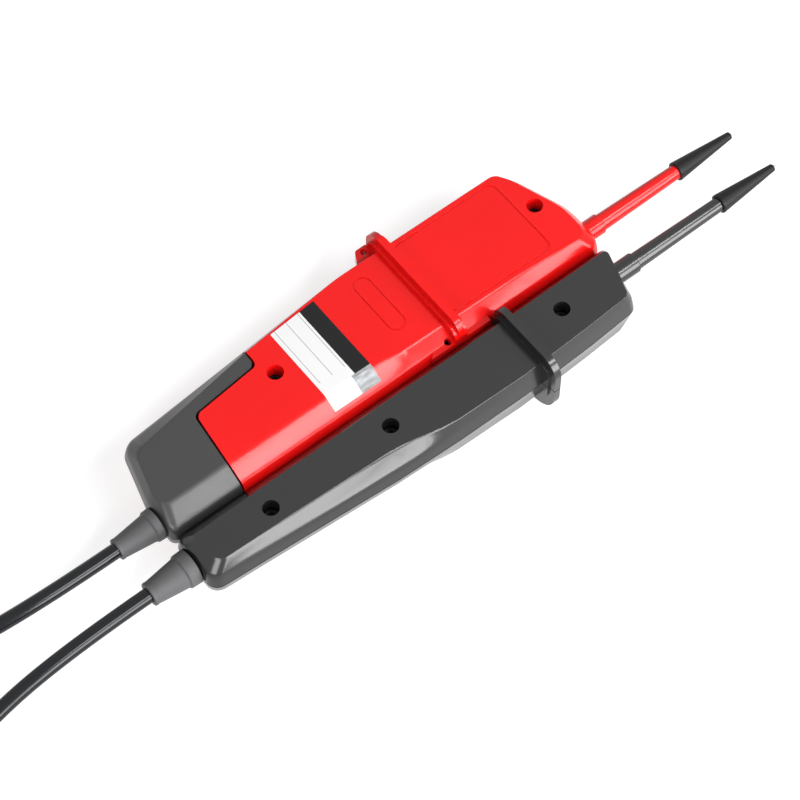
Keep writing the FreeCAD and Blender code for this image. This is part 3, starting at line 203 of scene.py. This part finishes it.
redFinish = {
    "colour": (0.80, 0.005, 0.005),
    "gloss": 0.20,
    "specular": 0.30,
    "cloudScale": 30.0,
    "spread": 0.02,
    "grainScale": 5000.0,
    "grain": 0.08,
}
greyFinish = {
    "colour": (0.011, 0.011, 0.0112),
    "gloss": 0.22,
    "specular": 0.58,
    "cloudScale": 30.0,
    "spread": 0.05,
    "grainScale": 5000.0,
    "grain": 0.10,
}
glandFinish = {
    "colour": (0.090, 0.090, 0.093),
    "gloss": 0.55,
    "specular": 0.30,
    "cloudScale": 90.0,
    "spread": 0.10,
    "grainScale": 3500.0,
    "grain": 0.4,
}
capFinish = {
    "colour": (0.006, 0.006, 0.0065),
    "gloss": 0.45,
    "specular": 0.22,
    "cloudScale": 120.0,
    "spread": 0.2,
    "grainScale": 4000.0,
    "grain": 0.35,
}
jacketFinish = {
    "colour": (0.004, 0.005, 0.007),
    "gloss": 0.14,
    "specular": 0.32,
    "cloudScale": 200.0,
    "spread": 0.15,
    "grainScale": 1500.0,
    "grain": 0.04,
}
coverFinish = dict(greyFinish, colour=(0.032, 0.032, 0.0325), gloss=0.34, grain=0.2)
buttonFinish = dict(glandFinish, colour=(0.10, 0.10, 0.105))
sealFinish = dict(capFinish, gloss=0.7)

redPlastic = mouldedFinish("redPlastic", redFinish)
greyPlastic = mouldedFinish("greyPlastic", greyFinish)
coverPlastic = mouldedFinish("coverPlastic", coverFinish)
glandRubber = mouldedFinish("glandRubber", glandFinish)
capPlastic = mouldedFinish("capPlastic", capFinish)
buttonRubber = mouldedFinish("buttonRubber", buttonFinish)
sealRubber = mouldedFinish("sealRubber", sealFinish)
cableJacket = mouldedFinish("cableJacket", jacketFinish)


# Turned metal: fine rings round the rods, from noise squeezed along X

turning = {
    "ringScale": 900.0,
    "smoother": 0.06,
    "rougher": 0.1,
    "dark": 0.85,
    "light": 1.08,
    "grain": 0.1,
    "grainDepth": 0.02,  # mm
}


def metalFinish(name, colour, gloss, stretch):
    material, tree, shader = newMaterial(name, colour, gloss, metallic=1.0)
    rings = addNoise(tree, turning["ringScale"], 2.0, stretch)
    uneven = addRange(tree, rings, gloss - turning["smoother"], gloss + turning["rougher"])
    tree.links.new(uneven, shader.inputs["Roughness"])
    ringed = driftingColour(tree, rings, colour, turning["dark"], turning["light"])
    tree.links.new(ringed, shader.inputs["Base Color"])
    addGrain(tree, shader, turning["ringScale"], turning["grain"], turning["grainDepth"], stretch)
    return material


tipSteel = metalFinish("tipSteel", (0.66, 0.65, 0.62), 0.24, (6.0, 0.4, 0.4))
# The screws' steel is near black: painted shade. The shade down in the screw wells is put into the
# screws' own colour.
screwSteelWellShade = metalFinish("screwSteelWellShade", (0.03, 0.03, 0.032), 0.4, (1.0, 1.0, 1.0))
contactMetal = metalFinish("contactMetal", (0.72, 0.71, 0.70), 0.25, (1.0, 1.0, 4.0))


# Plain finish of the inner pieces: cloudy colour and a finer grain

inner = {
    "grainPerCloud": 8,
    "grainDepth": 0.03,  # mm
}


def simpleFinish(name, colour, gloss, scale, spread, grain=0.1, metallic=0.0):
    material, tree, shader = newMaterial(name, colour, gloss, metallic=metallic)
    cloud = addNoise(tree, scale)
    cloudy = driftingColour(tree, cloud, colour, 1 - spread, 1 + spread)
    tree.links.new(cloudy, shader.inputs["Base Color"])
    addGrain(tree, shader, scale * inner["grainPerCloud"], grain, inner["grainDepth"])
    return material


def glassFinish(name, colour, gloss, alpha):
    material, tree, shader = newMaterial(name, colour, gloss)
    shader.inputs["Alpha"].default_value = alpha
    return material


boardGreen = simpleFinish("boardGreen", (0.02, 0.13, 0.05), 0.35, 300.0, spread=0.25)
cellWrap = simpleFinish("cellWrap", (0.05, 0.08, 0.18), 0.3, 150.0, spread=0.1, metallic=0.3)
displayBody = simpleFinish("displayBody", (0.38, 0.42, 0.34), 0.4, 200.0, spread=0.05)
lampRed = simpleFinish("lampRed", (0.55, 0.03, 0.02), 0.12, 300.0, spread=0.05, grain=0.02)
windowGlass = glassFinish("windowGlass", (0.75, 0.8, 0.75), 0.06, alpha=0.3)


# Rating label: white film with ruled lines, a dark band at the front and
# a silver patch at the dock side

labelLook = {
    "roughness": 0.4,
    "specular": 0.25,
    "bandStart": -36.9,  # mm along X, where the dark band begins
    "patchStart": -38.5,
    "patchEdge": 0.8,  # mm along Y, the patch lies on the dock side of it
    "rulesStart": -48.6,  # mm along X
    "rulesEdge": 5.0,  # mm along Y, the rules lie beyond it
    "rulePitch": 5.2,
    "ruleWidth": 0.22,
    "ruleStrength": 0.75,
    "white": (0.80, 0.80, 0.80),
    "ink": (0.12, 0.12, 0.12),
    "dark": (0.006, 0.006, 0.007),
    "silver": (0.30, 0.31, 0.32),
    "silverShades": (0.6, 1.4),
    "sheenScale": 260.0,
    "sheenStretch": (1.0, 3.0, 1.0),
    "grainScale": 400.0,
    "grain": 0.15,
    "grainDepth": 0.03,  # mm
}


def compare(tree, source, limit, above=True):
    node = tree.nodes.new("ShaderNodeMath")
    node.operation = "GREATER_THAN" if above else "LESS_THAN"
    node.inputs[1].default_value = limit
    tree.links.new(source, node.inputs[0])
    return node.outputs["Value"]


def combine(tree, operation, first, second):
    node = tree.nodes.new("ShaderNodeMath")
    node.operation = operation
    for socket, value in zip(node.inputs, (first, second)):
        if isinstance(value, (int, float)):
            socket.default_value = value
        else:
            tree.links.new(value, socket)
    return node.outputs["Value"]


# Rules: dark where (x + 1 m) mod pitch < width; the metre keeps the remainder positive
def ruleMask(tree, look, along, across):
    wave = combine(tree, "MODULO", combine(tree, "ADD", along, 1.0), look["rulePitch"] * mm)
    rules = compare(tree, wave, look["ruleWidth"] * mm, above=False)
    behindStart = compare(tree, along, look["rulesStart"] * mm)
    besideEdge = compare(tree, across, look["rulesEdge"] * mm)
    rules = combine(tree, "MULTIPLY", rules, behindStart)
    rules = combine(tree, "MULTIPLY", rules, besideEdge)
    return combine(tree, "MULTIPLY", rules, look["ruleStrength"])


def labelFinish(look):
    material, tree, shader = newMaterial(
        "labelFilm", look["white"], look["roughness"], specular=look["specular"]
    )
    place = tree.nodes.new("ShaderNodeTexCoord")
    axes = tree.nodes.new("ShaderNodeSeparateXYZ")
    tree.links.new(place.outputs["Object"], axes.inputs["Vector"])
    along, across = axes.outputs["X"], axes.outputs["Y"]

    band = compare(tree, along, look["bandStart"] * mm)
    dockSide = compare(tree, across, look["patchEdge"] * mm, above=False)
    patch = combine(tree, "MULTIPLY", dockSide, compare(tree, along, look["patchStart"] * mm))
    sheen = addNoise(tree, look["sheenScale"], 2.0, look["sheenStretch"])
    silver = driftingColour(tree, sheen, look["silver"], *look["silverShades"])

    colour = addColourMix(tree, ruleMask(tree, look, along, across), look["white"], look["ink"])
    colour = addColourMix(tree, band, colour, look["dark"])
    colour = addColourMix(tree, patch, colour, silver)
    tree.links.new(colour, shader.inputs["Base Color"])
    addGrain(tree, shader, look["grainScale"], look["grain"], look["grainDepth"])
    return material


labelFilm = labelFinish(labelLook)
print("materials made")


# Cable: leaves one gland, lies in a put-away coil outside the view and comes back to the other gland

cable = {
    "diameter": 5.5,  # mm, as all lengths here
    "mainRoute": [
        (-135.8, 0.65, 16.5),
        (-170, 0.65, 16.5),
        (-204, 6, 13),
        (-236, 28, 9.5),
        (-270, 35.75, 8.25),
    ],
    "probeRoute": [
        (-137, -19.15, 16.5),
        (-172, -19.15, 16.5),
        (-208, -22, 11),
        (-240, -31, 4.5),
        (-274, -35.75, 2.75),
    ],
    "coilCentre": (-270.0, 0.0),
    "coilRadii": [35.75, 30.25, 30.25, 35.75],
    "coilHeights": [8.25, 8.25, 2.75, 2.75],
    "coilTurns": 3.5,
    "easeStart": 0.75,  # share of a turn after which it eases into the next
    "pointsPerTurn": 16,
    "stepsPerPoint": 10,  # points of the line between two control points
    "sides": 20,
    "capAngle": 60.0,  # degrees, keeps the rims of the end caps sharp
}


# Coil: each turn is a circle of its own radius and height, eased into the next at its end.
# The line runs through the middles of its control polygon's sides, so the corners lie on
# R / cos(pi / n).
def coilPoints(values):
    points = []
    centreX, centreY = values["coilCentre"]
    radii, heights = values["coilRadii"], values["coilHeights"]
    count = values["pointsPerTurn"]
    easeStart = values["easeStart"]
    for step in range(1, round(values["coilTurns"] * count)):
        turn, share = divmod(step / count, 1.0)
        turn = int(turn)
        after = min(turn + 1, len(radii) - 1)
        ease = max(0.0, (share - easeStart) / (1 - easeStart))
        radius = radii[turn] * (1 - ease) + radii[after] * ease
        height = heights[turn] * (1 - ease) + heights[after] * ease
        radius /= math.cos(math.pi / count)
        angle = math.pi / 2 + 2 * math.pi * share
        x = centreX + radius * math.cos(angle)
        y = centreY + radius * math.sin(angle)
        points.append((x, y, height))
    return points


# Quadratic B-spline through both end points; the fourth value of a point is its weight of 1
def routeSpline(name, points, steps):
    data = bpy.data.curves.new(name, "CURVE")
    data.dimensions = "3D"
    data.resolution_u = steps
    spline = data.splines.new("NURBS")
    spline.points.add(len(points) - 1)
    flat = np.array([(*point, 1.0 / mm) for point in points]) * mm
    spline.points.foreach_set("co", flat.ravel())
    spline.order_u = 3
    spline.use_endpoint_u = True
    return data


def splineLine(name, points, steps):
    data = routeSpline(name, points, steps)
    holder = addObject(name, data)
    bpy.context.view_layer.update()
    evaluated = holder.evaluated_get(bpy.context.evaluated_depsgraph_get())
    mesh = bpy.data.meshes.new_from_object(evaluated)
    line = np.zeros(len(mesh.vertices) * 3)
    mesh.vertices.foreach_get("co", line)
    bpy.data.objects.remove(holder)
    bpy.data.meshes.remove(mesh)
    bpy.data.curves.remove(data)
    return line.reshape(-1, 3)


# Two directions square to the line at each of its points, carried along without twist
def lineFrames(line):
    tangents = np.gradient(line, axis=0)
    tangents /= np.linalg.norm(tangents, axis=1)[:, None]
    across = np.cross(tangents[0], (0.0, 0.0, 1.0))
    across /= np.linalg.norm(across)
    carried = []
    for tangent in tangents:
        across = across - tangent * np.dot(across, tangent)
        across /= np.linalg.norm(across)
        carried.append(across)
    first = np.array(carried)
    return first, np.cross(tangents, first)


def recalculate(mesh):
    work = bmesh.new()
    work.from_mesh(mesh)
    bmesh.ops.recalc_face_normals(work, faces=work.faces)
    work.to_mesh(mesh)
    work.free()


# Tube: p + r (cos t first + sin t second) round every point p of the line
def tubeMesh(name, line, radius, sides, capAngle):
    first, second = lineFrames(line)
    angles = np.linspace(0.0, 2 * np.pi, sides, endpoint=False)
    cosines = np.cos(angles)[None, :, None]
    sines = np.sin(angles)[None, :, None]
    rings = line[:, None, :] + radius * (cosines * first[:, None, :] + sines * second[:, None, :])
    count = len(line)
    row = np.arange(count - 1)[:, None] * sides
    column = np.arange(sides)[None, :]
    after = (column + 1) % sides
    corners = [row + column, row + after, row + sides + after, row + sides + column]
    faces = np.stack(corners, axis=-1).reshape(-1, 4)
    caps = [list(range(sides))[::-1], list(range((count - 1) * sides, count * sides))]
    mesh = bpy.data.meshes.new(name)
    mesh.from_pydata(rings.reshape(-1, 3).tolist(), [], faces.tolist() + caps)
    mesh.update()
    mesh.shade_smooth()
    mesh.set_sharp_from_angle(angle=math.radians(capAngle))
    recalculate(mesh)
    return mesh


def makeCable(values):
    points = values["mainRoute"] + coilPoints(values) + values["probeRoute"][::-1]
    line = splineLine("cableLine", points, values["stepsPerPoint"])
    mesh = tubeMesh("cable", line, values["diameter"] / 2 * mm, values["sides"], values["capAngle"])
    mesh.materials.append(cableJacket)
    piece = addObject("cable", mesh)
    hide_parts("cord_main_run", "cord_coil", "cord_probe_run")
    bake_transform(piece)


makeCable(cable)
print("cable laid")


# Skins: a merged, smooth-shaded copy of a CAD node, with its sharp edges eased

skinEdge = {
    "merge": 0.002,  # mm
    "degenerate": 0.004,  # mm
    "flat": 0.3,  # degrees
    "width": 0.18,  # mm
    "segments": 2,
    "angle": 38.0,  # degrees, sharper edges are eased
    "smoothAngle": 40.0,  # degrees, sharper edges are shaded sharp
    "normalWeight": 100,
}


def cleanMesh(mesh, values):
    work = bmesh.new()
    work.from_mesh(mesh)
    bmesh.ops.remove_doubles(work, verts=work.verts, dist=values["merge"] * mm)
    bmesh.ops.dissolve_degenerate(work, dist=values["degenerate"] * mm, edges=work.edges)
    flat = math.radians(values["flat"])
    bmesh.ops.dissolve_limit(work, angle_limit=flat, verts=work.verts, edges=work.edges)
    work.to_mesh(mesh)
    work.free()


def skin(node, material, values, eased):
    mesh = frame["nodes"][node].data.copy()
    mesh.name = node + "_skin"
    cleanMesh(mesh, values)
    mesh.shade_smooth()
    mesh.set_sharp_from_angle(angle=math.radians(values["smoothAngle"]))
    mesh.materials.clear()
    mesh.materials.append(material)
    piece = addObject(node + "_skin", mesh)
    if eased:
        bevel = piece.modifiers.new("easedEdges", "BEVEL")
        bevel.width = values["width"] * mm
        bevel.segments = values["segments"]
        bevel.limit_method = "ANGLE"
        bevel.angle_limit = math.radians(values["angle"])
        bevel.harden_normals = True
    weighted = piece.modifiers.new("weightedNormals", "WEIGHTED_NORMAL")
    weighted.weight = values["normalWeight"]
    weighted.keep_sharp = True
    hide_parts(node)
    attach(piece, bodyOf[node])


skinned = {
    "main_back_shell": redPlastic,
    "main_front_shell": redPlastic,
    "battery_cover": coverPlastic,
    "probe_back_shell": greyPlastic,
    "probe_front_shell": greyPlastic,
    "main_tip_sleeve": redPlastic,
    "probe_tip_sleeve": greyPlastic,
    "main_tip_cap": capPlastic,
    "probe_tip_cap": capPlastic,
    "main_cable_gland": glandRubber,
    "probe_cable_gland": glandRubber,
    "main_tip_rod": tipSteel,
    "probe_tip_rod": tipSteel,
    "hold_button": buttonRubber,
    "test_button": buttonRubber,
    "probe_test_button": buttonRubber,
}
thinPieces = {"main_tip_rod", "probe_tip_rod"}  # their edges stay as they are
for nodeName, nodeMaterial in skinned.items():
    skin(nodeName, nodeMaterial, skinEdge, eased=nodeName not in thinPieces)
print("skins made", len(skinned))


# Pieces that keep their CAD mesh and only get a finish

plainNodes = {
    "main_gasket": sealRubber,
    "probe_gasket": sealRubber,
    "main_circuit_board": boardGreen,
    "probe_circuit_board": boardGreen,
    "display_module": displayBody,
    "display_window": windowGlass,
    "level_lamps": lampRed,
    "buzzer": capPlastic,
    "main_switches": capPlastic,
    "probe_switch": capPlastic,
    "series_resistors": capPlastic,
    "battery_cells": cellWrap,
    "battery_contacts": contactMetal,
    "main_case_screws": screwSteelWellShade,
    "probe_case_screws": screwSteelWellShade,
    "rating_label": labelFilm,
}
for nodeName, nodeMaterial in plainNodes.items():
    for materialSlot in frame["nodes"][nodeName].material_slots:
        materialSlot.material = nodeMaterial
print("finishes given", len(plainNodes))


# Stage: pale floor, white surroundings for the camera, soft lamps

studio = {
    "floor": (0.44, 0.44, 0.44),
    "floorHalf": 4.0,  # m
    "floorRoughness": 0.9,
    "floorSpecular": 0.1,
    "floorGlow": 0.75,  # for camera, glossy and transmitted rays only, so that the paper looks white
    "white": (1.0, 1.0, 1.0, 1.0),
    "worldLevel": 0.18,
    "lamps": [
        # name, place in mm, size in mm, power in W
        ("bevelStrip", (270, -525, 810), (800, 120), 6.0),
        ("sideBox", (290, -880, 335), (900, 540), 14.8),
        ("cableBox", (-750, -420, 520), (450, 350), 3.6),
    ],
}


# 1 for camera, glossy and transmitted rays, 0 for the rays that light diffuse surfaces
def seenRays(tree):
    rays = tree.nodes.new("ShaderNodeLightPath")
    seen = combine(tree, "MAXIMUM", rays.outputs["Is Camera Ray"], rays.outputs["Is Glossy Ray"])
    return combine(tree, "MAXIMUM", seen, rays.outputs["Is Transmission Ray"])


def makeFloor(values):
    half = values["floorHalf"]
    corners = [(-half, -half, 0), (half, -half, 0), (half, half, 0), (-half, half, 0)]
    mesh = bpy.data.meshes.new("floor")
    mesh.from_pydata(corners, [], [(0, 1, 2, 3)])
    floor = addObject("floor", mesh)
    material, tree, shader = newMaterial(
        "floorPaper", values["floor"], values["floorRoughness"], specular=values["floorSpecular"]
    )
    glow = combine(tree, "MULTIPLY", seenRays(tree), values["floorGlow"])
    shader.inputs["Emission Color"].default_value = values["white"]
    tree.links.new(glow, shader.inputs["Emission Strength"])
    mesh.materials.append(material)


def makeWorld(values):
    world = bpy.data.worlds.new("studio")
    bpy.context.scene.world = world
    world.use_nodes = True
    tree = world.node_tree
    background = tree.nodes["Background"]
    level = addRange(tree, seenRays(tree), values["worldLevel"], 1.0, 0.0, 1.0)
    tree.links.new(level, background.inputs["Strength"])
    background.inputs["Color"].default_value = values["white"]


# Each lamp turns its face to the origin
def makeLamp(name, place, extent, power):
    data = bpy.data.lights.new(name, "AREA")
    data.shape = "RECTANGLE"
    data.size, data.size_y = extent[0] * mm, extent[1] * mm
    data.energy = power
    lamp = addObject(name, data)
    lamp.location = Vector(place) * mm
    lamp.rotation_euler = Vector(place).to_track_quat("Z", "Y").to_euler()


makeFloor(studio)
makeWorld(studio)
for lampValues in studio["lamps"]:
    makeLamp(*lampValues)
bpy.context.scene.view_settings.view_transform = "Standard"
print("stage set")
